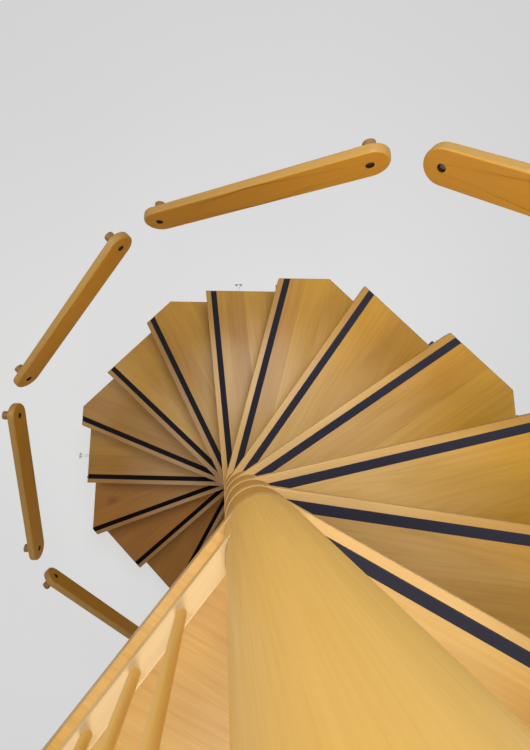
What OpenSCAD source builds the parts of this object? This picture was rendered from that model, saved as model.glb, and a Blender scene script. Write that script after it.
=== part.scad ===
/* [Flight] */
// Height of one rise
step_rise = 190; // [165:1:205]
// Turn from one tread to the next, degrees
step_turn = 20.75; // [19:0.05:23]
// Direction of the landing's nose, degrees from the X axis
landing_a = -28.3; // [-36:0.1:-22]
// Turn of the landing from its nose to its closing edge, degrees
landing_turn = 100.7; // [80:0.1:112]
/* [Treads] */
// Newel radius, also the round inner ends of the treads
newel_r = 99; // [80:1:115]
// Distance from the newel's axis to each side of the treads' outer edge
tread_r = 1064; // [900:2:1300]
// Board thickness
tread_t = 45; // [38:1:55]
// How far a tread runs under the one above it
tread_lap = 54; // [45:1:70]
// Chamfer of the board edges
edge_c = 4; // [2:0.5:6]
/* [Grip strips] */
// Front of the strip behind the nose
grip_back = 28; // [25:1:50]
// Strip width
grip_w = 31; // [20:1:40]
// Strip thickness
grip_t = 5; // [3:0.5:8]
// Groove depth
groove_d = 3.5; // [2:0.5:6]
// Glue gap along each side of a strip
grip_gap = 0.5; // [0.2:0.1:1]
// Strip's hollow end off the newel's side
grip_end = 1; // [0.6:0.1:5]
/* [Well] */
// Middle gap between the treads and the wall
wall_gap = 53; // [42:1:80]
// The well's middle from the newel's axis, along X
well_x = -19; // [-25:1:25]
// The well's middle from the newel's axis, along Y
well_y = -7; // [-25:1:25]
// Landing's outer edge past the treads' edge
land_over = 32; // [0:1:40]
// Wall pin stem radius
pin_r = 8; // [6:0.5:12]
// Wall pin flange radius
flange_r = 21; // [16:1:30]
// Wall pin flange thickness
flange_t = 4; // [3:0.5:8]
// Depth of the pin in the board
pin_in = 40; // [20:1:60]
// Air behind a pin in its hole
pin_gap = 0.5; // [0.2:0.1:2]
// How far a white pin stands behind its board's nose, degrees
pin_back = 4.7; // [3:0.1:8]
// A plain pin's axis before its board's rear edge
rest_edge = 35; // [30:1:50]
// Nearest that a plain pin comes to a corner of the treads' outer edge
rest_corner = 20; // [10:1:60]
/* [Post and guard] */
// Height of the post over the landing, cap included
post_h = 966; // [900:2:1100]
// Cap height
cap_h = 62; // [45:1:80]
// Cap past the post
cap_over = 3; // [0:0.5:8]
// Chamfer round the cap's top
cap_c = 7; // [3:0.5:12]
// Depth of the groove round the post under the cap
neck_d = 5; // [3:0.5:8]
// Height of that groove
neck_h = 8; // [5:0.5:14]
// Height of the joint line round the post over the landing
seam_h = 487; // [300:1:700]
// Depth of the joint line
seam_d = 1; // [0.5:0.1:2]
// The guard's outer face inside the post's side
guard_edge = 1; // [0:0.5:40]
// Top board height
top_h = 132; // [100:1:150]
// Top board thickness
top_t = 42; // [32:1:50]
// Top of the board below the post's top
top_drop = 50; // [35:1:80]
// Bottom rail height
bot_h = 32; // [25:1:45]
// Bottom rail thickness
bot_t = 42; // [30:1:50]
// Underside of the bottom rail over the landing
bot_up = 138; // [90:1:145]
// Baluster radius
bal_r = 11; // [8:0.5:15]
// Depth of a baluster in each rail
bal_in = 15; // [8:1:20]
// Play round a baluster in its holes
bal_gap = 0.5; // [0.2:0.1:1]
/* [Wall handrails] */
// Board width
hand_w = 116; // [80:2:130]
// Board thickness
hand_t = 30; // [26:1:40]
// Chamfer round the board
hand_c = 5; // [2:0.5:8]
// Distance between the two fixings, level
hand_span = 674; // [550:2:720]
// Board past each fixing
hand_over = 58; // [50:1:80]
// Wall to the board's front
hand_out = 74; // [55:1:100]
// Height of the board's middle over the line of the noses
hand_up = 867; // [800:1:950]
// How much steeper a board is than the line of the noses, degrees
hand_steep = 2.1; // [0:0.1:5]
// Dowel radius
dowel_r = 20; // [15:0.5:25]
// Counterbore radius
bore_r = 13; // [9:0.5:16]
// Counterbore depth
bore_d = 12; // [8:0.5:16]
// Screw head inside the counterbore
head_gap = 3; // [1:0.5:4]
// Height of the screw head
head_h = 5; // [3:0.5:8]
/* [Foot] */
// Foot plate past the newel
plate_over = 30; // [15:1:50]
// Foot plate thickness
plate_t = 10; // [6:1:20]
// Radius of the plate's bolt holes
bolt_r = 5.5; // [4:0.5:8]

/* [Hidden] */
tread_n = 14;
plate_r = newel_r + plate_over;
bolt_pcd = 2 * newel_r + plate_over;
wall_r = tread_r + wall_gap;
land_k = tread_n + 1;
land_z = land_k * step_rise;
side_len = 2 * wall_r * tan(22.5);
// rise of the noses along one side of the well
side_rise = 45 / step_turn * step_rise;
hand_slope = atan(side_rise / side_len) + hand_steep;
drum_r = newel_r - 2;
guard_a = landing_a - landing_turn;
// centre line of the guard's rails from the newel's axis
guard_off = newel_r - guard_edge - top_t / 2;
land_r = tread_r + land_over;
head_r = bore_r - head_gap;
// where the guard's centre line leaves the post and meets the well's south-west side
guard_in = sqrt(pow(newel_r, 2) - pow(guard_off, 2));
guard_out = (side_r(5) - guard_off * cos(guard_a + 45)) / cos(guard_a + 135);
wood = [0.78, 0.56, 0.28];
wood_dark = [0.62, 0.42, 0.20];
black = [0.08, 0.08, 0.09];
white = [0.93, 0.93, 0.92];
steel = [0.45, 0.45, 0.46];

// the wall's distance from the newel's axis on side s of the well, and its gap to the treads
function side_r(s) = wall_r + well_x * cos(45 * s) + well_y * sin(45 * s);
function side_gap(s) = side_r(s) - tread_r;
function nose_a(k) = landing_a + (land_k - k) * step_turn;
function top_z(k) = k * step_rise;

// white pins hold every fourth board: the well's side and the place on it, from its middle
pin_every = 4;
function pin_side(k) = round((nose_a(k) - pin_back) / 45);
function pin_turn(k) = max(-18.5, min(18.5, nose_a(k) - pin_back - 45 * pin_side(k)));
function pin_y(k) = tread_r * tan(pin_turn(k));

// plain pins hold every board near its rear edge
rest_off = newel_r - tread_lap + rest_edge;
function rest_side(k) = round((nose_a(k + 1) + asin((rest_off + rest_corner) / tread_r)) / 45);
function rest_lean(k) = nose_a(k + 1) - 45 * rest_side(k);
function rest_y(k) = max(rest_corner - tread_r * tan(22.5),
  tread_r * tan(rest_lean(k)) + rest_off / cos(rest_lean(k)));

// the eight-sided outline of the well, with a side facing the X axis
module well_plan(r) {
  rotate(22.5) circle(r = r / cos(22.5), $fn = 8);
}

// one board seen from above: round at the newel, straight nose along X turned by a
module board_plan(a, back, r_out, lap) {
  far = 2 * r_out;
  intersection() {
    well_plan(r_out);
    hull() {
      circle(r = newel_r, $fn = 72);
      rotate(a) translate([0, newel_r - 1]) square([far, 1]);
      rotate(a - back) translate([0, newel_r - lap]) square([far, 1]);
    }
  }
}

// a board with chamfered edges
module board(a, back, r_out, lap, t) {
  hull() {
    linear_extrude(t) offset(delta = -edge_c) board_plan(a, back, r_out, lap);
    translate([0, 0, edge_c]) linear_extrude(t - 2 * edge_c)
      board_plan(a, back, r_out, lap);
  }
}

// the strip's outline on a board, grown by g: from the newel's side to the outer edge
module grip_plan(a, r_out, g) {
  difference() {
    intersection() {
      well_plan(r_out);
      rotate(a) translate([0, newel_r - grip_back - grip_w - g])
        square([2 * r_out, grip_w + 2 * g]);
    }
    circle(r = newel_r + grip_end - g, $fn = 96);
  }
}

module tread(k) {
  color(wood) translate([0, 0, top_z(k) - tread_t]) difference() {
    board(nose_a(k), step_turn, tread_r, tread_lap, tread_t);
    translate([0, 0, tread_t - groove_d]) linear_extrude(groove_d + 1)
      grip_plan(nose_a(k), tread_r + edge_c, grip_gap);
    if (k % pin_every == 1) pin_hole(pin_side(k), pin_y(k));
    pin_hole(rest_side(k), rest_y(k));
  }
}

// on a board's outer edge, y from the middle of the well's side, X towards the wall
module pin_at(side, y) {
  rotate(45 * side) translate([tread_r, y, 0]) children();
}

// the hole for a pin in a board's outer edge
module pin_hole(side, y) {
  pin_at(side, y) translate([-pin_in - pin_gap, 0, tread_t / 2]) rotate([0, 90, 0])
    cylinder(r = pin_r, h = pin_in + pin_gap + edge_c, $fn = 32);
}

module landing() {
  color(wood) translate([0, 0, land_z - tread_t]) difference() {
    board(landing_a, landing_turn, land_r, 2 * newel_r, tread_t);
    translate([0, 0, tread_t - groove_d]) linear_extrude(groove_d + 1)
      grip_plan(landing_a, land_r + edge_c, grip_gap);
  }
}

module grip_strips() {
  color(black) {
    for (k = [1 : tread_n])
      translate([0, 0, top_z(k) - groove_d]) linear_extrude(grip_t)
        grip_plan(nose_a(k), tread_r - edge_c, 0);
    translate([0, 0, land_z - groove_d]) linear_extrude(grip_t)
      grip_plan(landing_a, land_r - edge_c, 0);
  }
}

module newel_drums() {
  color(wood) for (k = [1 : land_k])
    translate([0, 0, k == 1 ? plate_t : top_z(k - 1)])
      cylinder(r = drum_r, h = step_rise - tread_t - (k == 1 ? plate_t : 0), $fn = 96);
}

module foot_plate() {
  color(steel) difference() {
    cylinder(r = plate_r, h = plate_t, $fn = 96);
    for (j = [0 : 3]) rotate(90 * j) translate([bolt_pcd / 2, 0, -1])
      cylinder(r = bolt_r, h = plate_t + 2, $fn = 32);
  }
}

module wall_pins() {
  color(white) for (k = [1 : pin_every : tread_n])
    pin_at(pin_side(k), pin_y(k)) translate([-pin_in, 0, top_z(k) - tread_t / 2])
      rotate([0, 90, 0]) {
        cylinder(r = pin_r, h = pin_in + side_gap(pin_side(k)), $fn = 32);
        translate([0, 0, pin_in + side_gap(pin_side(k)) - flange_t])
          cylinder(r = flange_r, h = flange_t, $fn = 48);
      }
}

module rest_pins() {
  color(steel) for (k = [1 : tread_n])
    pin_at(rest_side(k), rest_y(k)) translate([-pin_in, 0, top_z(k) - tread_t / 2])
      rotate([0, 90, 0])
        cylinder(r = pin_r, h = pin_in + side_gap(rest_side(k)), $fn = 32);
}

module newel_post() {
  color(wood) translate([0, 0, land_z]) difference() {
    union() {
      cylinder(r = newel_r, h = post_h - cap_h - neck_h, $fn = 96);
      cylinder(r = newel_r - neck_d, h = post_h - cap_h, $fn = 96);
    }
    translate([0, 0, seam_h]) rotate_extrude($fn = 96)
      polygon([[newel_r - seam_d, 0], [newel_r + seam_d, -2 * seam_d], [newel_r + seam_d, 2 * seam_d]]);
  }
}

module post_cap() {
  color(wood) translate([0, 0, land_z + post_h - cap_h]) {
    cylinder(r = newel_r + cap_over, h = cap_h - cap_c, $fn = 96);
    translate([0, 0, cap_h - cap_c])
      cylinder(r1 = newel_r + cap_over, r2 = newel_r + cap_over - cap_c, h = cap_c, $fn = 96);
  }
}

// along the guard's centre line, starting on the post
module guard_at(x) {
  rotate(guard_a) translate([x, -guard_off, land_z]) children();
}

module guard_bar(z, h, t) {
  difference() {
    intersection() {
      guard_at(0) translate([0, -t / 2, z]) cube([2 * wall_r, t, h]);
      translate([well_x, well_y, 0]) linear_extrude(land_z + post_h) well_plan(wall_r);
    }
    cylinder(r = newel_r, h = land_z + post_h, $fn = 96);
  }
}

module top_rail() {
  color(wood) difference() {
    guard_bar(post_h - top_drop - top_h, top_h, top_t);
    baluster_set(bal_gap);
  }
}

module bottom_rail() {
  color(wood) difference() {
    guard_bar(bot_up, bot_h, bot_t);
    baluster_set(bal_gap);
  }
}

module baluster_set(g) {
  for (j = [1 : 7])
    guard_at(guard_in + (guard_out - guard_in) * j / 8) translate([0, 0, bot_up + bot_h - bal_in - g])
      cylinder(r = bal_r, h = post_h - top_drop - top_h - bot_up - bot_h
        + 2 * bal_in + 2 * g, $fn = 32);
}

module balusters() {
  color(wood) baluster_set(0);
}

// on side s of the well: X out of the wall into the well, Y along the rail, at its middle
module hand_at(s) {
  k = land_k - (45 * s - landing_a) / step_turn;
  translate([well_x, well_y, k * step_rise + hand_up])
    rotate(45 * s) translate([wall_r, 0, 0])
    rotate([-hand_slope, 0, 0]) rotate([0, 0, 180]) children();
}

hand_half = hand_span / 2 / cos(hand_slope);

module handrail(s) {
  color(wood) hand_at(s) translate([hand_out, 0, 0]) rotate([0, -90, 0]) difference() {
    hull() for (e = [-1, 1])
      translate([0, e * (hand_half + hand_over - hand_w / 2), 0]) {
        cylinder(r = hand_w / 2 - hand_c, h = hand_t, $fn = 64);
        translate([0, 0, hand_c]) cylinder(r = hand_w / 2, h = hand_t - 2 * hand_c, $fn = 64);
      }
    for (e = [-1, 1]) translate([0, e * hand_half, -1])
      cylinder(r = bore_r, h = bore_d + 1, $fn = 40);
  }
}

module handrail_dowels() {
  color(wood_dark) for (s = [0 : 5]) hand_at(s) for (e = [-1, 1])
    translate([0, e * hand_half, 0]) rotate([0, 90, 0])
      cylinder(r = dowel_r, h = hand_out - hand_t, $fn = 48);
}

module handrail_screws() {
  color(steel) for (s = [0 : 5]) hand_at(s) for (e = [-1, 1])
    translate([hand_out - bore_d, e * hand_half, 0]) rotate([0, 90, 0])
      cylinder(r = head_r, h = head_h, $fn = 32);
}

foot_plate();
newel_drums();
tread(1);  // tread_01
tread(2);  // tread_02
tread(3);  // tread_03
tread(4);  // tread_04
tread(5);  // tread_05
tread(6);  // tread_06
tread(7);  // tread_07
tread(8);  // tread_08
tread(9);  // tread_09
tread(10);  // tread_10
tread(11);  // tread_11
tread(12);  // tread_12
tread(13);  // tread_13
tread(14);  // tread_14
landing();
grip_strips();
wall_pins();
rest_pins();
newel_post();
post_cap();
top_rail();
bottom_rail();
balusters();
handrail(0);  // handrail_e
handrail(1);  // handrail_ne
handrail(2);  // handrail_n
handrail(3);  // handrail_nw
handrail(4);  // handrail_w
handrail(5);  // handrail_sw
handrail_dowels();
handrail_screws();
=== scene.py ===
# %% [markdown]
# # A wooden spiral staircase, dressed in Blender
# The frame that is loaded here holds every part of the stair in its real place and size, in
# metres, with the newel's foot at the origin. This lesson gives each part the shape and finish
# that a joiner would give it: glued boards with eased edges, ribbed grip strips, turned drums
# and posts, and varnished wood whose grain runs along each piece.

# %% Load the frame
import bmesh
import bpy
import math
from mathutils import Matrix, Vector


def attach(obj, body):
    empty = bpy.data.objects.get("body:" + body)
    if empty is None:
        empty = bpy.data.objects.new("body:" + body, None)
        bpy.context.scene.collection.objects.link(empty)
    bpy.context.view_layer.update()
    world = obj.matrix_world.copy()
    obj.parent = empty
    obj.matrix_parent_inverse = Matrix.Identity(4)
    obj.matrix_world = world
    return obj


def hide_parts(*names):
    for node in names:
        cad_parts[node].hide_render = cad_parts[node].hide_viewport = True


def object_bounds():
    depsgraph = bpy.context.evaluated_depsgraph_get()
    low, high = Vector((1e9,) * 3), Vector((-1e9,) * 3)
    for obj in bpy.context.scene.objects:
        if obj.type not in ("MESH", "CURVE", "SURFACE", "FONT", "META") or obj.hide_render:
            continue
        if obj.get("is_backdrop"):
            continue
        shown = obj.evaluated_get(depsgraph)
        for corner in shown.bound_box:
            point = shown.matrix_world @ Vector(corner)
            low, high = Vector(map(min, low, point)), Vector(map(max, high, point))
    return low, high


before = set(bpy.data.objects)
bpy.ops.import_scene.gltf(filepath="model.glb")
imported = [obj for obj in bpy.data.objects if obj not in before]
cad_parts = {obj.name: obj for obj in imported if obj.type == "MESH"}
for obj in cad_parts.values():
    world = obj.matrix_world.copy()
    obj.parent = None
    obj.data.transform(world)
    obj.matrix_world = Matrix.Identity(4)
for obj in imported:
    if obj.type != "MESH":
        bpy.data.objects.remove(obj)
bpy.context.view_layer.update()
scene = bpy.context.scene
print("parts in the frame:", len(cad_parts))

# %% [markdown]
# The stair is set out from a few measures, as on a joiner's rod. The flight climbs by one rise
# per tread and turns by one step round the newel. Every nose is a straight line that touches
# the newel's side, and every board ends at an eight-sided well.

# %% The setting-out measures
treads = 14
rise = 0.190
step_turn = 20.75                # degrees from one nose to the next
landing_nose = -28.3             # direction of the landing's nose
landing_sweep = 100.7            # how far the landing turns round the post
newel = 0.099                    # the newel's radius
thick = 0.045                    # thickness of every board
lap = 0.054                      # how far a tread runs under the next one's nose
tread_reach = 1.064              # from the newel's axis to a tread's outer edge
landing_reach = tread_reach + 0.032
landing_level = (treads + 1) * rise
well_reach = tread_reach + 0.053  # from the well's middle to each of its sides
well_middle = Vector((-0.019, -0.007, 0))


def nose_turn(step):
    """The direction of a step's nose, in degrees from the X axis."""
    return landing_nose + (treads + 1 - step) * step_turn


def side_away(side):
    """How far one side of the well stands from the newel's axis."""
    return well_reach + (turned(-45 * side) @ well_middle).x


def turned(degrees):
    """A turn about the newel's axis."""
    return Matrix.Rotation(math.radians(degrees), 4, "Z")


print("the landing lies at", round(landing_level, 3), "m")

# %% [markdown]
# Colours are easier to judge as they look on a screen, but a shader wants linear light. This
# small helper turns the one into the other, so that each finish can be written as it looks.

# %% A colour as it looks
def look(red, green, blue):
    """A colour given in screen values from 0 to 255, as linear light for a shader."""
    def linear(value):
        value = value / 255
        return value / 12.92 if value <= 0.04045 else ((value + 0.055) / 1.055) ** 2.4
    return (linear(red), linear(green), linear(blue), 1.0)


print("varnished wood in the light:", [round(v, 3) for v in look(216, 170, 96)])

# %% [markdown]
# A material is a chain of nodes. The helper below adds a node, sets its sockets and links its
# inputs in one line, so that the recipes that follow stay short enough to read.

# %% A short way to chain nodes
class Recipe:
    """A material and its nodes, with the main shader ready."""

    def __init__(self, name):
        self.material = bpy.data.materials.new(name)
        self.material.use_nodes = True
        self.tree = self.material.node_tree
        self.shader = self.tree.nodes["Principled BSDF"]

    def add(self, kind, inputs=None, **settings):
        """Adds a node. An input is either a value or the output of another node."""
        node = self.tree.nodes.new(kind)
        for name, value in settings.items():
            setattr(node, name, value)
        for name, value in (inputs or {}).items():
            self.put(node.inputs[name], value)
        return node

    def put(self, socket, value):
        """Gives a socket a value, or links it to the output of a node."""
        if isinstance(value, bpy.types.NodeSocket):
            self.tree.links.new(value, socket)
        else:
            socket.default_value = value

    def sums(self, operation, first, second, third=0.0):
        """One step of arithmetic with numbers."""
        node = self.add("ShaderNodeMath", {0: first, 1: second, 2: third}, operation=operation)
        return node.outputs[0]

    def stretch(self, vector, scale, location=(0, 0, 0)):
        """Scales and moves a place, which stretches the pattern that reads it."""
        node = self.add("ShaderNodeMapping", {"Vector": vector, "Scale": scale,
                                              "Location": location})
        return node.outputs["Vector"]

    def vectors(self, operation, first, second=(0, 0, 0), output=0):
        """One step of arithmetic with vectors."""
        node = self.add("ShaderNodeVectorMath", {0: first, 1: second}, operation=operation)
        return node.outputs[output]

    def speckle(self, vector, scale, detail, rough):
        """A cloudy noise from 0 to 1."""
        node = self.add("ShaderNodeTexNoise", {"Vector": vector, "Scale": scale, "Detail": detail,
                                               "Roughness": rough, "Distortion": 0.0})
        return node.outputs["Fac"]

    def band(self, value, low, high, to_low=0.0, to_high=1.0):
        """Turns one range of numbers into another, and stops at its ends."""
        node = self.add("ShaderNodeMapRange", {"Value": value, "From Min": low, "From Max": high,
                                               "To Min": to_low, "To Max": to_high}, clamp=True)
        return node.outputs["Result"]

    def blend(self, amount, first, second):
        """A mix of two colours."""
        node = self.add("ShaderNodeMix", {0: amount, 6: first, 7: second},
                        data_type="RGBA", blend_type="MIX")
        return node.outputs[2]

    def feed(self, socket, value):
        """Gives the main shader a value or the output of a node."""
        self.put(self.shader.inputs[socket], value)

    def relief(self, height, strength, distance):
        """A fine bump on top of the real shape."""
        node = self.add("ShaderNodeBump", {"Height": height, "Strength": strength,
                                           "Distance": distance})
        self.feed("Normal", node.outputs["Normal"])


print("recipes can be written")

# %% [markdown]
# Solid wood has its grain all the way through, so the pattern has to be three-dimensional and
# has to follow each piece's own length. Each wooden mesh gets an attribute called grain: the
# place along the fibres, across them and through the thickness, in metres, with a shift of its
# own so that no two boards come from the same plank.

# %% Grain that follows the piece
def plank_shift(plank):
    """Where in the timber a plank is cut from. Any number will do, and each has its own figure."""
    return Vector((plank * 3.17, plank * 1.73, plank * 0.61))


def lay_grain(bm, along, up, plank):
    """Writes the grain attribute: fibres run along one direction, and up is the board's face."""
    layer = bm.verts.layers.float_vector.get("grain") or bm.verts.layers.float_vector.new("grain")
    along, up = Vector(along).normalized(), Vector(up).normalized()
    across = up.cross(along)
    shift = plank_shift(plank)
    for vert in bm.verts:
        vert[layer] = Vector((vert.co.dot(along), vert.co.dot(across), vert.co.dot(up))) + shift


# %% [markdown]
# The wood is a fine, even, golden timber under satin varnish. Its recipe has four layers. A
# one-dimensional cell pattern cuts the board into glued staves of uneven width and tone. A
# stretched noise, read as contour lines, draws the soft figure of the growth rings. A finer
# noise draws the fibres, and very short dark flecks are the pores. A board may also have a knot,
# and a paler, greyer pair of colours near the newel, partly wear and partly a painted sheen of
# the varnish. The varnish is a coat over the wood, smoother than the wood itself.

# %% The wood recipe
def wood(name, light, dark, stave=0.0, figure=0.30, knot=None, wear_and_sheen=None):
    """A varnished wood that reads the grain attribute.

    stave is the width of the glued staves, figure says how strong the growth rings are, knot is
    a place in the grain and a radius, and the last argument is a light and a dark colour for the
    part near the newel, partly wear and partly a painted sheen.
    """
    mix = Recipe(name)
    grain = mix.add("ShaderNodeAttribute", attribute_name="grain").outputs["Vector"]
    grain_in = grain
    if stave:
        across = mix.add("ShaderNodeSeparateXYZ", {0: grain}).outputs["Y"]
        cells = mix.add("ShaderNodeTexVoronoi",
                        {"W": across, "Scale": 1 / stave, "Randomness": 0.75},
                        voronoi_dimensions="1D").outputs["Color"]
        grain_in = mix.vectors("ADD", grain, mix.vectors("MULTIPLY", cells, (7.0, 3.0, 2.0)))
        tone = mix.add("ShaderNodeSeparateColor", {0: cells}).outputs[0]
    rings = mix.speckle(mix.stretch(grain_in, (0.55, 7.5, 5.0)), 1.0, 1.5, 0.45)
    lines = mix.sums("MULTIPLY", rings, 13.0)
    if knot:
        knot_place, knot_radius = knot
        away = mix.vectors("SUBTRACT", grain, knot_place)
        far = mix.vectors("LENGTH", mix.stretch(away, (0.55, 1.0, 0.12)), output="Value")
        lines = mix.sums("MULTIPLY_ADD", mix.band(far, 0.0, knot_radius, 1.0, 0.0), 4.5, lines)
    lines = mix.sums("PINGPONG", lines, 0.5)
    lines = mix.sums("MULTIPLY", lines, 2.0)
    late = mix.band(lines, 0.35, 1.0)
    cloud = mix.speckle(mix.stretch(grain_in, (0.9, 5.0, 5.0), (4.0, 1.0, 2.0)), 1.0, 2.0, 0.5)
    fibres = mix.speckle(mix.stretch(grain_in, (6.0, 260.0, 260.0)), 1.0, 3.0, 0.6)
    pores = mix.speckle(mix.stretch(grain_in, (130.0, 1500.0, 1500.0)), 1.0, 1.0, 0.5)
    pores = mix.band(pores, 0.62, 0.74)
    shade = mix.sums("MULTIPLY", late, figure * 0.4)
    shade = mix.sums("MULTIPLY_ADD", mix.band(cloud, 0.3, 0.75), figure, shade)
    shade = mix.sums("MULTIPLY_ADD", mix.band(fibres, 0.35, 0.7), 0.18, shade)
    shade = mix.sums("MULTIPLY_ADD", pores, 0.10, shade)
    # Towards the newel the colours turn paler and greyer: partly wear from feet, partly a painted
    # sheen of the varnish.
    if wear_and_sheen:
        place = mix.add("ShaderNodeTexCoord").outputs["Object"]
        from_newel = mix.vectors("LENGTH", mix.stretch(place, (1, 1, 0)), output="Value")
        from_newel = mix.sums("MULTIPLY_ADD", cloud, 0.5, from_newel)
        wear_sheen_mix = mix.band(from_newel, 1.15, 0.70, 0.0, 0.9)
        light, dark = mix.blend(wear_sheen_mix, light, wear_and_sheen[0]), mix.blend(wear_sheen_mix, dark, wear_and_sheen[1])
    colour = mix.blend(shade, light, dark)
    if stave:
        level = mix.band(tone, 0.0, 1.0, 0.91, 1.07)
        warm = mix.band(tone, 0.0, 1.0, 0.497, 0.503)
        varied = {"Color": colour, "Value": level, "Hue": warm}
        colour = mix.add("ShaderNodeHueSaturation", varied).outputs[0]
    if knot:
        heart = mix.band(far, 0.0, knot_radius * 0.42, 0.85, 0.0)
        colour = mix.blend(heart, colour, look(108, 60, 32))
    mix.feed("Base Color", colour)
    mix.feed("Roughness", mix.band(fibres, 0.3, 0.7, 0.50, 0.60))
    mix.feed("Specular IOR Level", 0.22)
    mix.feed("Coat Weight", 0.17)
    mix.feed("Coat Roughness", 0.22)
    mix.relief(mix.sums("ADD", fibres, pores), 0.12, 0.0004)
    return mix.material


honey, amber = look(188, 138, 46), look(136, 89, 20)
# The paler pairs near the newel are partly wear and partly a painted sheen.
board_wear_sheen = (look(203, 163, 97), look(154, 110, 52))
board_wood = wood("board wood", honey, amber, stave=0.13, wear_and_sheen=board_wear_sheen)
# The tawny, brown and knotted boards are darker copies of the board wood for the lower treads:
# painted shade that deepens towards the bottom. The knot itself is real.
tawny_wear_sheen = (look(184, 146, 94), look(140, 99, 54))
tawny_shade_wood = wood("board wood with tawny painted shade", look(168, 120, 40), look(118, 76, 18), stave=0.13,
                  wear_and_sheen=tawny_wear_sheen)
brown, umber = look(166, 111, 38), look(116, 70, 20)
brown_wear_sheen = (look(176, 130, 74), look(128, 86, 44))
brown_shade_wood = wood("board wood with brown painted shade", brown, umber, stave=0.13)
knot_tread = 4
fourth_knot = (plank_shift(knot_tread) + Vector((0.950, -0.096, knot_tread * rise)), 0.09)
knotted_shade_wood = wood("knotted wood with brown painted shade", brown, umber, stave=0.13, knot=fourth_knot,
                    wear_and_sheen=brown_wear_sheen)
# The nosing wood is paler than the boards: partly its own wood, partly painted light.
nosing_wear_sheen = (look(211, 171, 108), look(180, 138, 76))
lipping_wood = wood("nosing wood", look(174, 129, 58), look(148, 102, 40), figure=0.22,
                    wear_and_sheen=nosing_wear_sheen)
# The tawny nosing is a darker copy of the nosing wood for the lower nosings: painted shade.
tawny_nosing_wear_sheen = (look(178, 143, 99), look(148, 113, 72))
tawny_shade_lipping = wood("nosing wood with tawny painted shade", look(160, 116, 56), look(134, 92, 38), figure=0.22,
                     wear_and_sheen=tawny_nosing_wear_sheen)
drum_wood = wood("drum wood", look(194, 141, 56), look(160, 109, 36), figure=0.20)
# A paler, greyer wood for the top of the guard's foot rail: a painted sheen.
sheen_top_wood = wood("rail top wood with painted sheen", look(198, 170, 124), look(174, 145, 98), figure=0.20)
turned_wood = wood("turned wood", look(224, 178, 92), look(194, 145, 62), figure=0.24)
rail_wood = wood("rail wood", look(194, 137, 46), look(160, 106, 31), figure=0.25)
# A darker copy of the rail wood for the rails' edges: painted shade.
rail_edge_shade_wood = wood("rail edges with painted shade", look(160, 122, 58), look(136, 98, 42), figure=0.25)
# A darker wood for the dowels, which sit under the rails: painted shade.
dowel_shade_wood = wood("dowel timber with painted shade", look(136, 98, 52), look(106, 72, 38), figure=0.2)
# A much darker wood for the inside of the screw holes: painted shade.
bore_shade_wood = wood("hole wood with painted shade", look(66, 46, 24), look(44, 30, 16), figure=0.2)
finishes = (board_wood, tawny_shade_wood, brown_shade_wood, knotted_shade_wood, lipping_wood, tawny_shade_lipping,
            drum_wood, sheen_top_wood, turned_wood, rail_wood, rail_edge_shade_wood, dowel_shade_wood, bore_shade_wood)
print("wood finishes:", [finish.name for finish in finishes])

# %% [markdown]
# The other finishes are plain workshop ones. The grip strips are black rubber, and the upper
# ones are painted greyer and bluer, a painted sheen. The flanged pins are brush-painted white,
# the foot plate is dark enamel, the plain pins and the bolts are darkened steel, and the heads of
# the handrails' screws are a little brighter. None is quite even, so each gets a little noise.

# %% Rubber, paint and steel
def plain_finish(name, light, dark, rough, scale, metal=0.0, relief=0.0, gloss=0.0, shine=0.5,
                 upper_sheen=None):
    """A finish whose colour and roughness wander a little, and a painted sheen for upper steps."""
    mix = Recipe(name)
    place = mix.add("ShaderNodeTexCoord").outputs["Object"]
    drift = mix.speckle(place, scale, 4.0, 0.6)
    fine = mix.speckle(place, scale * 14, 2.0, 0.5)
    colour = mix.blend(mix.band(drift, 0.3, 0.7), light, dark)
    # Higher up the colour turns greyer and bluer: a painted sheen.
    if upper_sheen:
        height = mix.add("ShaderNodeSeparateXYZ", {0: place}).outputs["Z"]
        colour = mix.blend(mix.band(height, 4 * rise, 11 * rise, 0.0, 0.9), colour, upper_sheen)
    mix.feed("Base Color", colour)
    mix.feed("Roughness", mix.band(fine, 0.3, 0.7, rough - 0.06, rough + 0.06))
    mix.feed("Metallic", metal)
    mix.feed("Specular IOR Level", shine)
    if gloss:
        mix.feed("Coat Weight", gloss)
        mix.feed("Coat Roughness", 0.12)
    if relief:
        mix.relief(fine, 0.3, relief)
    return mix.material


# The strips are black low down and painted greyer and bluer higher up: a painted sheen.
grip_rubber = plain_finish("grip rubber", look(18, 15, 14), look(8, 6, 5), 0.6, scale=30,
                           relief=0.0003, shine=0.03, upper_sheen=look(50, 49, 59))
pin_paint = plain_finish("white paint", look(240, 240, 237), look(226, 226, 222), 0.35, scale=40,
                         gloss=0.3)
plate_enamel = plain_finish("dark enamel", look(64, 64, 66), look(48, 48, 50), 0.48, scale=25,
                            relief=0.0004)
dark_steel = plain_finish("darkened steel", look(66, 62, 58), look(42, 40, 38), 0.42, scale=200,
                           metal=0.6)
head_steel = plain_finish("worn steel", look(132, 128, 116), look(96, 92, 84), 0.3, scale=200,
                          metal=0.8)
finishes = (grip_rubber, pin_paint, plate_enamel, dark_steel, head_steel)
print("other finishes:", [finish.name for finish in finishes])

# %% [markdown]
# Every piece is kept in the same way. Its mesh stays where it was modelled, so its object
# stands at the origin. Round surfaces are shaded smooth and true corners stay crisp, and
# weighted normals keep the large flat faces flat beside their small rounded edges.

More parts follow.
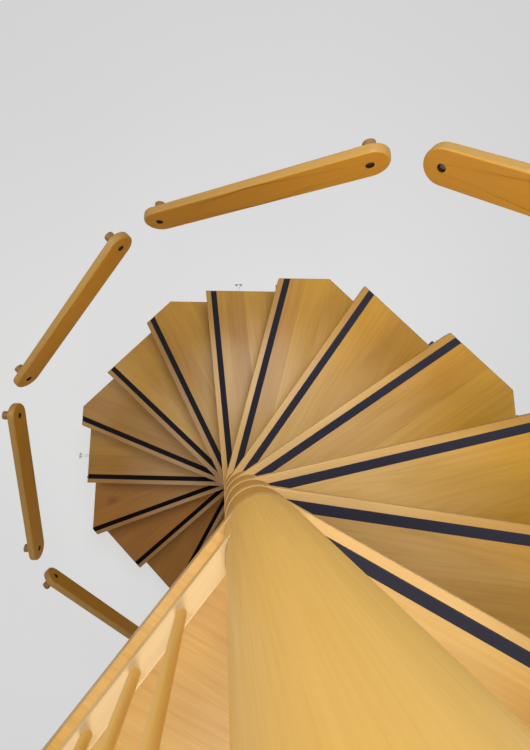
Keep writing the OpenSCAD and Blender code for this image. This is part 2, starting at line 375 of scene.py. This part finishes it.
# %% Keep a finished piece
def keep(bm, name, finishes, stands_for=(), crease=38):
    """Makes the piece's object, shades it, and puts it in the frame."""
    bmesh.ops.recalc_face_normals(bm, faces=bm.faces)
    mesh = bpy.data.meshes.new(name)
    bm.to_mesh(mesh)
    bm.free()
    for finish in finishes:
        mesh.materials.append(finish)
    mesh.shade_smooth()
    mesh.set_sharp_from_angle(angle=math.radians(crease))
    piece = bpy.data.objects.new(name, mesh)
    scene.collection.objects.link(piece)
    even = piece.modifiers.new("even shading", "WEIGHTED_NORMAL")
    even.keep_sharp = True
    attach(piece, "root")
    if stands_for:
        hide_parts(*stands_for)


def join_in(bm, one, place=Matrix()):
    """Moves a small mesh to its place and adds it to a bigger one."""
    bmesh.ops.transform(one, matrix=place, verts=one.verts)
    holder = bpy.data.meshes.new("holder")
    one.to_mesh(holder)
    bm.from_mesh(holder)
    bpy.data.meshes.remove(holder)
    one.free()


def everything(bm):
    """All the corners, edges and faces of a mesh."""
    return [*bm.verts, *bm.edges, *bm.faces]


def only_verts(geometry):
    """The corners in a mixed list of corners, edges and faces."""
    return [g for g in geometry if isinstance(g, bmesh.types.BMVert)]


def only_edges(geometry):
    """The edges in a mixed list of corners, edges and faces."""
    return [g for g in geometry if isinstance(g, bmesh.types.BMEdge)]


def trim(bm, point, normal):
    """Cuts away everything on the normal's side and closes the cut."""
    cut = bmesh.ops.bisect_plane(bm, geom=everything(bm), dist=1e-6, plane_co=point,
                                 plane_no=normal, clear_outer=True)
    edges = only_edges(cut["geom_cut"])
    if edges:
        bmesh.ops.holes_fill(bm, edges=edges, sides=0)


def trim_to_well(bm, reach):
    """Cuts a mesh to the eight-sided outline of the well."""
    for side in range(8):
        outward = turned(45 * side) @ Vector((1, 0, 0))
        trim(bm, outward * reach, outward)


rim_angle = 60                   # only the rims of a cylinder are sharper, not its facets


def ease(bm, radius, sharper_than=25, segments=3, only=None):
    """Rounds the edges where two faces meet more sharply than an angle."""
    sharp = math.radians(sharper_than)
    edges = [e for e in bm.edges if e.is_manifold and e.calc_face_angle(0) > sharp
             and (only is None or only(e))]
    bmesh.ops.bevel(bm, geom=edges, offset=radius, affect="EDGES", segments=segments, profile=0.5,
                    material=-1, clamp_overlap=True)


def add_cylinder(bm, segments, radius, low, high):
    """Adds an upright cylinder between two heights."""
    bmesh.ops.create_cone(bm, cap_ends=True, segments=segments, radius1=radius, radius2=radius,
                          depth=high - low, matrix=Matrix.Translation((0, 0, (low + high) / 2)))


# %% [markdown]
# A tread is a wedge with a round inner end. The convex hull of the round end and the far ends
# of its nose and rear lines gives the wedge, eight cuts give it the outline of the well, and
# its edges are eased. The joiner then glues it up from a front lipping, straight-grained and
# lighter, and a panel of staves behind it. The lipping is lighter partly by its own wood and
# partly by painted light, and its wood also covers every eased edge as a painted highlight.
# The panel has a rabbet for the grip strip, right behind the lipping. The same steps make the
# landing, which is only wider.

# %% Glued-up boards
board_round = 0.004              # the rounding of a board's edges
grip_back, grip_width, grip_height = 0.028, 0.031, 0.005
groove, glue_gap = 0.0035, 0.0005
lipping_shift = 40               # takes each nosing from another plank than its panel


def wedge(nose_at, sweep, reach, rear_offset, level):
    """The whole board as one solid, with eased edges."""
    bm = bmesh.new()
    nose, rear = turned(nose_at), turned(nose_at - sweep)
    for z in (level - thick, level):
        round_end = Matrix.Translation((0, 0, z)) @ nose
        bmesh.ops.create_circle(bm, segments=96, radius=newel, matrix=round_end)
        for side, offset in ((nose, newel), (rear, rear_offset)):
            bm.verts.new(side @ Vector((2 * reach, offset, z)))
    hull = bmesh.ops.convex_hull(bm, input=list(bm.verts))
    spare = {v for v in only_verts(hull["geom_interior"] + hull["geom_unused"]) if v.is_valid}
    bmesh.ops.delete(bm, geom=list(spare), context="VERTS")
    bmesh.ops.dissolve_limit(bm, angle_limit=math.radians(0.5), verts=list(bm.verts),
                             edges=list(bm.edges))
    trim_to_well(bm, reach)
    ease(bm, board_round)
    return bm


def glued_board(name, nose_at, sweep, reach, rear_offset, level, finishes, plank, node):
    """The lipping, the panel and the wood under the strip, as touching solids of one piece."""
    whole = wedge(nose_at, sweep, reach, rear_offset, level)
    up, along = Vector((0, 0, 1)), (turned(nose_at) @ Vector((1, 0, 0))).normalized()
    facing = (turned(nose_at) @ Vector((0, 1, 0))).normalized()
    front = facing * (newel - grip_back + glue_gap)
    back = facing * (newel - grip_back - grip_width - glue_gap)
    start, bottom = along * (newel * 0.5), Vector((0, 0, level - groove))
    solids = (
        ("lipping", [(front, -facing)]),
        ("panel", [(back, facing)]),
        ("under the strip", [(front, facing), (back, -facing), (start, -along), (bottom, up)]),
        ("inside the round end", [(front, facing), (back, -facing), (start, along)]),
    )
    board = bmesh.new()
    for role, cuts in solids:
        part = whole.copy()
        for point, normal in cuts:
            trim(part, point, normal)
        for face in part.faces:
            # The eased edges of every solid take the nosing wood: a painted highlight along each
            # arris.
            rounding = 0.15 < abs(face.normal.z) < 0.95
            face.material_index = 1 if rounding or role == "lipping" else 0
        lay_grain(part, along, up, plank + lipping_shift if role == "lipping" else plank)
        join_in(board, part)
    whole.free()
    keep(board, name, finishes, [node])


# Painted shade: the lower boards and nosings take the darker copies, so the flight darkens towards
# the bottom.
board_finishes = [brown_shade_wood] * 3 + [knotted_shade_wood] + [tawny_shade_wood] * 2 + [board_wood] * 8
nosing_finishes = [tawny_shade_lipping] * 8 + [lipping_wood] * 6
planks = {10: 37.816}            # this plank puts a light glue line along the tenth tread
for step, pair in enumerate(zip(board_finishes, nosing_finishes), 1):
    glued_board(f"board_{step:02d}", nose_turn(step), step_turn, tread_reach, newel - lap,
                step * rise, pair, planks.get(step, step), f"tread_{step:02d}")
glued_board("landing_board", landing_nose, landing_sweep, landing_reach, -newel, landing_level,
            [board_wood, lipping_wood], 16, "landing")
print("boards made:", treads, "treads and the landing")

# %% [markdown]
# A grip strip is a length of ribbed rubber pressed into the rabbet. Its cross-section is drawn
# as a row of points with small ribs, pulled out along the nose, given its depth, and trimmed
# to the well like the board. It stands a little proud of the wood.

# %% Ribbed grip strips
def ribbed_strip(bm, nose_at, reach, level, round_it):
    """Adds one strip to a mesh. Its inner end is hollowed to fit a round of a given radius."""
    one = bmesh.new()
    low, high = level - groove, level - groove + grip_height
    back, front = newel - grip_back - grip_width, newel - grip_back
    ribs, rib_depth, border, corner = 6, 0.0009, 0.0025, 0.0008
    pitch = (grip_width - 2 * border) / ribs
    row = [(back, low), (back, high - corner), (back + corner, high)]
    for rib in range(ribs):
        foot = back + border + rib * pitch
        row += [(foot, high), (foot + pitch * 0.14, high - rib_depth),
                (foot + pitch * 0.36, high - rib_depth), (foot + pitch * 0.5, high)]
    row += [(front - corner, high), (front, high - corner), (front, low)]
    points = [one.verts.new((math.sqrt(round_it ** 2 - y ** 2), y, z)) for y, z in row]
    rim = [one.edges.new(pair) for pair in zip(points, points[1:])]
    rim.append(one.edges.new((points[-1], points[0])))
    end = bmesh.ops.contextual_create(one, geom=rim)["faces"]
    pulled = bmesh.ops.extrude_face_region(one, geom=end)["geom"]
    bmesh.ops.translate(one, vec=(2 * reach, 0, 0), verts=only_verts(pulled))
    bmesh.ops.transform(one, matrix=turned(nose_at), verts=one.verts)
    trim_to_well(one, reach - board_round)
    join_in(bm, one)


strips = bmesh.new()
for step in range(1, treads + 1):
    ribbed_strip(strips, nose_turn(step), tread_reach, step * rise, newel - 0.001)
ribbed_strip(strips, landing_nose, landing_reach, landing_level, newel + 0.001)
print("strip faces:", len(strips.faces))
keep(strips, "ribbed_strips", [grip_rubber], ["grip_strips"])

# %% [markdown]
# Between two boards the newel is a turned drum, cut a shade smaller than the boards' round
# ends, so that a fine shadow line shows at each joint. Each drum is a closed cylinder whose two
# rims are eased, with upright grain of its own.

# %% Turned drums
def add_turned(bm, radius, low, high, rim, plank, centre=(0, 0), segments=96, rings=3):
    """Adds an upright cylinder with rounded rims to a mesh, with its grain."""
    one = bmesh.new()
    add_cylinder(one, segments, radius, low, high)
    bmesh.ops.translate(one, vec=(*centre, 0), verts=one.verts)
    ease(one, rim, rim_angle, rings)
    lay_grain(one, (0, 0, 1), (1, 0, 0), plank)
    join_in(bm, one)


plate_thick, drum_inset = 0.010, 0.002
drums = bmesh.new()
for step in range(1, treads + 2):
    low = plate_thick if step == 1 else (step - 1) * rise
    add_turned(drums, newel - drum_inset, low, step * rise - thick, rim=0.0015, plank=step * 0.7)
print("drum faces:", len(drums.faces))
keep(drums, "turned_drums", [drum_wood], ["newel_drums"])

# %% [markdown]
# The post on the landing is one turning with a groove under its cap, like a bead line. Its
# outline is drawn as a row of points on one side and spun round the axis. The spin closes on
# itself, and its ends at the axis are merged.

# %% A turned post and its cap
def spin_outline(bm, outline, plank=0, place=Matrix(), steps=96):
    """Spins a row of (radius, height) points round the Z axis and puts the solid in its place."""
    one = bmesh.new()
    points = [one.verts.new((radius, 0, height)) for radius, height in outline]
    edges = [one.edges.new(pair) for pair in zip(points, points[1:])]
    bmesh.ops.spin(one, geom=points + edges, cent=(0, 0, 0), axis=(0, 0, 1), angle=math.tau,
                   steps=steps, use_merge=True)
    bmesh.ops.remove_doubles(one, verts=one.verts, dist=1e-5)
    lay_grain(one, (0, 0, 1), (1, 0, 0), plank)
    join_in(bm, one, place)


def rounded(radius, height, size, turn_up=True):
    """Points of a quarter round from an upright side to a flat end."""
    points, steps = [], 4
    for part in range(steps + 1):
        angle = math.radians(90 * part / steps)
        points.append((radius - size * (1 - math.cos(angle)),
                       height - size * (1 - math.sin(angle))))
    return points if turn_up else [(r, 2 * height - h) for r, h in reversed(points)]


post_height, seam_height, cap_thick = 0.966, 0.487, 0.062
neck_width, neck_depth, cap_over = 0.008, 0.005, 0.003
arris, cap_round = 0.002, 0.007  # the rounding of the groove's edges and of the cap's top
post_top = landing_level + post_height
cap_low, cap_radius = post_top - cap_thick, newel + cap_over
post_points = [(0, landing_level), (newel - 0.001, landing_level), (newel, landing_level + 0.001)]
seam = landing_level + seam_height
post_points += [(newel, seam - 0.0008), (newel - 0.0006, seam), (newel, seam + 0.0008)]
post_points += rounded(newel, cap_low - neck_width, arris)
neck = newel - neck_depth
post_points += [(neck, cap_low - neck_width), (neck, cap_low), (0, cap_low)]
post = bmesh.new()
spin_outline(post, post_points, plank=21.3)
keep(post, "landing_post", [turned_wood], ["newel_post"])
cap_points = [(0, cap_low)] + rounded(cap_radius, cap_low, arris, turn_up=False)
cap_points += rounded(cap_radius, post_top, cap_round) + [(0, post_top)]
cap = bmesh.new()
spin_outline(cap, cap_points, plank=23.9)
keep(cap, "cap_turning", [turned_wood], ["post_cap"])
print("post and cap up to", round(post_top, 3), "m")

# %% [markdown]
# The guard runs straight from the post to the side of the well: a deep board on top, a small
# rail below, and round balusters between them. A joiner scribes both rails to the round post.
# Here the rail starts as a cube with a few slices across its thickness, and the ends of the
# slices are moved onto the post's curve. The other end is trimmed to the side of the well.

# %% The guard
guard_thick = 0.042
guard_turn = landing_nose - landing_sweep
guard_off = newel - 0.001 - guard_thick / 2
guard_in = math.sqrt(newel ** 2 - guard_off ** 2)
guard_out = ((side_away(5) - guard_off * math.cos(math.radians(guard_turn + 45)))
             / math.cos(math.radians(guard_turn + 135)))
guard_place = turned(guard_turn) @ Matrix.Translation((0, -guard_off, 0))


def guard_rail(name, low, high, rounding, plank, node, top_finish):
    """A rail scribed to the post at one end and trimmed to the well's side at the other."""
    bm = bmesh.new()
    rough_length, near_post, scribe_gap, slices = 1.6, 0.1, 0.0015, 10
    middle = Matrix.Translation((rough_length / 2, 0, (low + high) / 2))
    size = Matrix.Diagonal((rough_length, guard_thick, high - low, 1))
    bmesh.ops.create_cube(bm, size=1, matrix=middle @ size)
    ease(bm, rounding, only=lambda e: abs(e.verts[0].co.x - e.verts[1].co.x) > near_post)
    for number in range(1, slices):
        y = -guard_thick / 2 + guard_thick * number / slices
        bmesh.ops.bisect_plane(bm, geom=everything(bm), dist=1e-7, plane_co=(0, y, 0),
                               plane_no=(0, 1, 0))
    for vert in bm.verts:
        if vert.co.x < near_post:
            vert.co.x = math.sqrt(newel ** 2 - (vert.co.y - guard_off) ** 2) + scribe_gap
    bmesh.ops.transform(bm, matrix=guard_place, verts=bm.verts)
    outward = turned(-135) @ Vector((1, 0, 0))
    trim(bm, outward * side_away(5), outward)
    along = turned(guard_turn)
    lay_grain(bm, along @ Vector((1, 0, 0)), along @ Vector((0, 1, 0)), plank)
    bm.normal_update()
    for face in bm.faces:
        # Faces that look up get the top finish; on the foot rail that is a painted sheen.
        face.material_index = 1 if face.normal.z > 0.5 else 0
    keep(bm, name, [turned_wood, top_finish], [node])


below_post_top, board_deep, over_landing, foot_deep = 0.050, 0.132, 0.138, 0.032
board_high = post_top - below_post_top
board_low = board_high - board_deep
guard_rail("guard_board", board_low, board_high, rounding=0.004, plank=31.1,
           node="top_rail", top_finish=turned_wood)
foot_low = landing_level + over_landing
foot_high = foot_low + foot_deep
# The foot rail's top faces take the paler wood: a painted sheen.
guard_rail("guard_foot_rail", foot_low, foot_high, rounding=0.003, plank=33.7,
           node="bottom_rail", top_finish=sheen_top_wood)
rods, rod_radius, gaps, sunk_in = bmesh.new(), 0.011, 8, 0.012
for number in range(1, gaps):
    spot = guard_place @ Vector((guard_in + (guard_out - guard_in) * number / gaps, 0, 0))
    add_turned(rods, rod_radius, foot_high - sunk_in, board_low + sunk_in, rim=0.001,
               plank=50 + number * 0.9, centre=(spot.x, spot.y), segments=32, rings=1)
keep(rods, "guard_balusters", [turned_wood], ["balusters"])
print("guard from", round(guard_in, 3), "to", round(guard_out, 3), "m along its line")

# %% [markdown]
# Each of the handrails is a flat board with semicircular ends. Its front face is made from two
# rings round the screw holes: each ring's outer edge is half the round end and half the
# board's straight part, and the two meet in the middle. The hole's edge goes down to a flat
# seat for the screw, the outer edge goes back to the rear side, and the board's outer rims are
# rounded. The board's edges get a darker copy of its wood as painted shade, and the inside of
# the holes a much darker wood, also painted shade, so both get a finish of their own.

# %% Straight handrails
rail_width, rail_thick, rail_span = 0.116, 0.030, 0.674
rail_front, rail_up = 0.074, 0.867
screw_seat, screw_hole = 0.012, 0.013
side_length = 2 * well_reach * math.tan(math.radians(22.5))
rail_slope = math.atan(45 / step_turn * rise / side_length) + math.radians(2.1)
rail_half = rail_span / 2 / math.cos(rail_slope)
lay_down = Matrix.Rotation(math.radians(90), 4, "Y")     # turns what stands up to point along X


def rail_place(side):
    """The middle of a rail's line at its side of the well: X inwards, Y along it, Z up its face."""
    step = treads + 1 - (45 * side - landing_nose) / step_turn
    return (Matrix.Translation(well_middle) @ turned(45 * side)
            @ Matrix.Translation((well_reach, 0, step * rise + rail_up))
            @ Matrix.Rotation(-rail_slope, 4, "X") @ turned(180))


def wall_rail(name, side, plank, node):
    """One board with two counterbored holes."""
    bm = bmesh.new()
    half_width, count, clear = rail_width / 2, 64, 0.02
    for end in (-1, 1):
        ring = bmesh.ops.create_circle(bm, segments=count, radius=screw_hole)["verts"]
        inner = list({e for v in ring for e in v.link_edges})
        outer = only_verts(bmesh.ops.extrude_edge_only(bm, edges=inner)["geom"])
        for vert in outer:
            angle = math.atan2(vert.co.x, -end * vert.co.y)
            vert.co = vert.co * (half_width / screw_hole)
            if abs(angle) < math.radians(89):
                share = max(-1, min(1, angle / (math.pi / 2 - math.tau / count)))
                vert.co = Vector((half_width * share, -end * rail_half, 0))
        bmesh.ops.translate(bm, vec=(0, end * rail_half, 0), verts=ring + outer)
        sunk = bmesh.ops.extrude_edge_only(bm, edges=inner)["geom"]
        bmesh.ops.translate(bm, vec=(0, 0, -screw_seat), verts=only_verts(sunk))
        bmesh.ops.contextual_create(bm, geom=[e for e in only_edges(sunk) if e.is_boundary])
    bmesh.ops.remove_doubles(bm, verts=bm.verts, dist=1e-5)
    rim = [e for e in bm.edges if e.is_boundary]
    back = bmesh.ops.extrude_edge_only(bm, edges=rim)["geom"]
    bmesh.ops.translate(bm, vec=(0, 0, -rail_thick), verts=only_verts(back))
    bmesh.ops.contextual_create(bm, geom=[e for e in only_edges(back) if e.is_boundary])
    bmesh.ops.recalc_face_normals(bm, faces=bm.faces)
    ease(bm, 0.006, rim_angle, 4,
         lambda e: all(max(abs(v.co.x), abs(v.co.y) - rail_half) > clear for v in e.verts))
    lay_grain(bm, (0, 1, 0), (0, 0, 1), plank)
    bm.normal_update()
    for face in bm.faces:
        # Faces inside the holes take the much darker wood and the edges the darker one, both
        # painted shade.
        bored = all(math.hypot(v.co.x, abs(v.co.y) - rail_half) < screw_hole + 0.001
                    for v in face.verts)
        face.material_index = 2 if bored else 0 if abs(face.normal.z) > 0.6 else 1
    place = rail_place(side) @ Matrix.Translation((rail_front, 0, 0)) @ lay_down
    bmesh.ops.transform(bm, matrix=place, verts=bm.verts)
    keep(bm, name, [rail_wood, rail_edge_shade_wood, bore_shade_wood], [node])


for side, compass in enumerate(("e", "ne", "n", "nw", "w", "sw")):
    wall_rail(f"wall_rail_{compass}", side, 60 + side * 1.3, f"handrail_{compass}")
print("handrails slope at", round(math.degrees(rail_slope), 1), "degrees")

# %% [markdown]
# Two short dowels carry each handrail. A screw with a hexagonal socket sits in each counterbore
# and goes through the dowel. Its head is a short cylinder with an eased rim, and the socket is
# an inset of its top face, pressed in.

# %% Dowels and socket screws
def socket_head(bm, radius, height, place):
    """Adds a screw head that stands on the local XY plane, with a six-sided socket in its top."""
    one, sides = bmesh.new(), 6
    add_cylinder(one, 48, radius, 0, height)
    ease(one, radius * 0.14, rim_angle)
    top = max(one.faces, key=lambda f: f.calc_center_median().z)
    bmesh.ops.inset_region(one, faces=[top], thickness=radius * 0.42, use_even_offset=True)
    for vert in top.verts:
        angle = math.atan2(vert.co.y, vert.co.x)
        part = (angle + math.pi / sides) % (math.tau / sides) - math.pi / sides
        flat = radius * 0.5 / math.cos(part)
        vert.co.x, vert.co.y = flat * math.cos(angle), flat * math.sin(angle)
    sunk = bmesh.ops.extrude_face_region(one, geom=[top])["geom"]
    bmesh.ops.translate(one, vec=(0, 0, -height * 0.6), verts=only_verts(sunk))
    bmesh.ops.delete(one, geom=[top], context="FACES_ONLY")
    join_in(bm, one, place)


dowels, screws, dowel_radius = bmesh.new(), bmesh.new(), 0.020
dowel_length, head_radius, head_high = rail_front - rail_thick, 0.010, 0.005
for side in range(6):
    for end in (-1, 1):
        place = rail_place(side) @ Matrix.Translation((0, end * rail_half, 0)) @ lay_down
        one = bmesh.new()
        add_cylinder(one, 64, dowel_radius, 0, dowel_length)
        ease(one, 0.0012, rim_angle, 2)
        lay_grain(one, (0, 0, 1), (1, 0, 0), 80 + side * 2 + end)
        join_in(dowels, one, place)
        seat = place @ Matrix.Translation((0, 0, rail_front - screw_seat))
        socket_head(screws, head_radius, head_high, seat)
keep(dowels, "rail_dowels", [dowel_shade_wood], ["handrail_dowels"])
keep(screws, "rail_screws", [head_steel], ["handrail_screws"])
print("two dowels and two screws for each of 6 handrails")

# %% [markdown]
# Every tread rests on a plain dark pin near its rear edge, and every fourth one also on a white
# pin with a flange behind its nose. A pin is a spun outline: a stem with a soft end, or a stem
# that widens into a round flange where it ends.

# %% Plain pins and flanged pins
pin_radius, pin_sunk = 0.008, 0.001
# An end is a row of points, each a radius and a distance back from the pin's far end.
plain_end = [(pin_radius, 0.001), (0.0073, 0), (0, 0)]
flange_end = [(pin_radius, 0.0075), (0.0088, 0.0052), (0.0108, 0.0042), (0.0185, 0.0040),
              (0.0203, 0.0034), (0.021, 0.0020), (0.021, 0), (0, 0)]


def wall_pin(bm, end, side, place_along, step):
    """Adds a pin from a tread's outer edge to its far end at the side of the well."""
    gap = side_away(side) - tread_reach
    outline = [(0, -pin_sunk), (pin_radius, -pin_sunk)]
    outline += [(radius, gap - depth) for radius, depth in end]
    edge = Matrix.Translation((tread_reach, place_along, step * rise - thick / 2))
    spin_outline(bm, outline, place=turned(45 * side) @ edge @ lay_down, steps=48)


white_pins, plain_pins = bmesh.new(), bmesh.new()
rest_line, from_corner = newel - lap + 0.035, 0.020
pin_behind, pin_every = 4.7, 4
for step in range(1, treads + 1):
    reach_angle = math.degrees(math.asin((rest_line + from_corner) / tread_reach))
    side = round((nose_turn(step + 1) + reach_angle) / 45)
    lean = math.radians(nose_turn(step + 1) - 45 * side)
    along_side = tread_reach * math.tan(lean) + rest_line / math.cos(lean)
    along_side = max(along_side, from_corner - tread_reach * math.tan(math.radians(22.5)))
    wall_pin(plain_pins, plain_end, side, along_side, step)
    if step % pin_every == 1:
        behind = nose_turn(step) - pin_behind
        side = round(behind / 45)
        along_side = tread_reach * math.tan(math.radians(behind - 45 * side))
        wall_pin(white_pins, flange_end, side, along_side, step)
keep(white_pins, "painted_pins", [pin_paint], ["wall_pins"])
keep(plain_pins, "plain_pins", [dark_steel], ["rest_pins"])
print("pins made: a plain one for each of", treads, "treads and white ones on every fourth")

# %% [markdown]
# At the bottom the newel stands on a round steel plate. The frame's plate already has the right
# shape, so it stays and only gets its enamel. Four hexagon bolts with washers hold it down: a
# six-sided prism with an eased top on a thin ring.

# %% The foot plate and its bolts
plate_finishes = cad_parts["foot_plate"].data.materials
plate_finishes.clear()
plate_finishes.append(plate_enamel)
bolts, bolt_ring, washer_thick, head_thick = bmesh.new(), 0.114, 0.002, 0.0064
washer_radius, hexagon_radius = 0.0098, 0.0092
for quarter in range(4):
    centre = turned(90 * quarter) @ Vector((bolt_ring, 0, plate_thick))
    one = bmesh.new()
    add_cylinder(one, 48, washer_radius, 0, washer_thick)
    ease(one, 0.0004, rim_angle, 2)
    add_cylinder(one, 6, hexagon_radius, washer_thick, washer_thick + head_thick)
    ease(one, 0.0006, rim_angle, 2, lambda e: all(v.co.z > washer_thick + 0.0001 for v in e.verts))
    tightened = turned(12 + 31 * quarter)
    join_in(bolts, one, Matrix.Translation(centre) @ tightened)
keep(bolts, "foot_bolts", [dark_steel], crease=30)
print("the foot has four bolts")

# %% [markdown]
# The stair stands on a plain pale floor in soft light, as in a photo studio. Rays that come
# straight from the camera, or by way of gloss, see a white background, and the floor keeps the
# stair's shadow.

# %% Floor, sky and lamps
floor_mesh = bmesh.new()
bmesh.ops.create_circle(floor_mesh, cap_ends=True, segments=96, radius=40)
floor_data = bpy.data.meshes.new("floor")
floor_mesh.to_mesh(floor_data)
floor_mesh.free()
floor = bpy.data.objects.new("floor", floor_data)
scene.collection.objects.link(floor)
floor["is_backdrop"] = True


def seen_rays(tree):
    """A value that is 1 for rays from the camera, off gloss or through glass, and 0 for others."""
    rays = tree.nodes.new("ShaderNodeLightPath").outputs
    seen = rays["Is Camera Ray"]
    for kind in ("Is Glossy Ray", "Is Transmission Ray"):
        either = tree.nodes.new("ShaderNodeMath")
        either.operation = "MAXIMUM"
        tree.links.new(seen, either.inputs[0])
        tree.links.new(rays[kind], either.inputs[1])
        seen = either.outputs[0]
    return seen


pale = Recipe("pale floor")
pale.feed("Base Color", look(236, 236, 234))
pale.feed("Roughness", 0.9)
glow = pale.add("ShaderNodeEmission", {"Color": (1, 1, 1, 1), "Strength": 1.0})
seen_half = pale.sums("MULTIPLY", seen_rays(pale.tree), 0.5)
half = pale.add("ShaderNodeMixShader",
                {0: seen_half, 1: pale.shader.outputs[0], 2: glow.outputs[0]})
pale.tree.links.new(half.outputs[0], pale.tree.nodes["Material Output"].inputs["Surface"])
floor_data.materials.append(pale.material)

sky = bpy.data.worlds.new("studio")
scene.world = sky
sky.use_nodes = True
nodes, links = sky.node_tree.nodes, sky.node_tree.links
air = nodes["Background"]
air.inputs["Color"].default_value = look(244, 246, 250)
air.inputs["Strength"].default_value = 0.32
shown = nodes.new("ShaderNodeBackground")
shown.inputs["Color"].default_value = (1, 1, 1, 1)
blend = nodes.new("ShaderNodeMixShader")
links.new(seen_rays(sky.node_tree), blend.inputs[0])
links.new(air.outputs[0], blend.inputs[1])
links.new(shown.outputs[0], blend.inputs[2])
links.new(blend.outputs[0], nodes["World Output"].inputs["Surface"])


def soft_lamp(name, place, aim, size, power, colour, spread=180):
    """A large square lamp that looks at a point. A small spread keeps its light together."""
    data = bpy.data.lights.new(name, "AREA")
    data.size, data.energy, data.color = size, power, look(*colour)[:3]
    data.spread = math.radians(spread)
    lamp = bpy.data.objects.new(name, data)
    lamp.location = place
    lamp.rotation_euler = (Vector(aim) - Vector(place)).to_track_quat("-Z", "Y").to_euler()
    scene.collection.objects.link(lamp)


soft_lamp("north light", (0.25, 1.15, 4.7), (0.5, 0.6, 2.0), 1.05, 22, (238, 245, 255), 120)
soft_lamp("west light", (-2.1, 0.9, 4.6), (0, 0, 3.0), 1.4, 36, (255, 249, 240))
soft_lamp("south light", (0.5, -2.2, 4.8), (-0.2, 1.0, 2.8), 1.6, 22, (255, 247, 236), 80)
scene.view_settings.view_transform = "Standard"

# %% [markdown]
# The camera looks steeply down the well from beside the post's top, leaning a little to the
# north. Its place, its lean and its wide lens were found by matching the noses, the well's
# corners and the handrails. A small sideways shift puts the newel where it stands in the view.

# %% The camera
eye = Vector((-0.1073, 0.2314, 3.848))
forward = Vector((0.0107, 0.1602, -0.9870)).normalized()
rightward = Vector((0.9999, 0.0112, 0.0126)).normalized()
upward = rightward.cross(forward).normalized()
rightward = forward.cross(upward)
lens_data = bpy.data.cameras.new("view down the well")
lens_data.sensor_width, lens_data.lens = 36.0, 18.95
lens_data.shift_x = 0.0495
lens_data.clip_start, lens_data.clip_end = 0.01, 200
camera = bpy.data.objects.new("view down the well", lens_data)
axes = Matrix((rightward, upward, -forward)).transposed().to_4x4()
camera.matrix_world = Matrix.Translation(eye) @ axes
scene.collection.objects.link(camera)
scene.camera = camera
print("camera at", [round(v, 3) for v in eye], "with a lens of", lens_data.lens, "mm")

# %% [markdown]
# At the end the size of the dressed stair is measured and printed, because dressing must not
# change its size.

# %% Measure and finish
low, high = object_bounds()
print("size of the dressed stair:", [round(v, 3) for v in high - low])
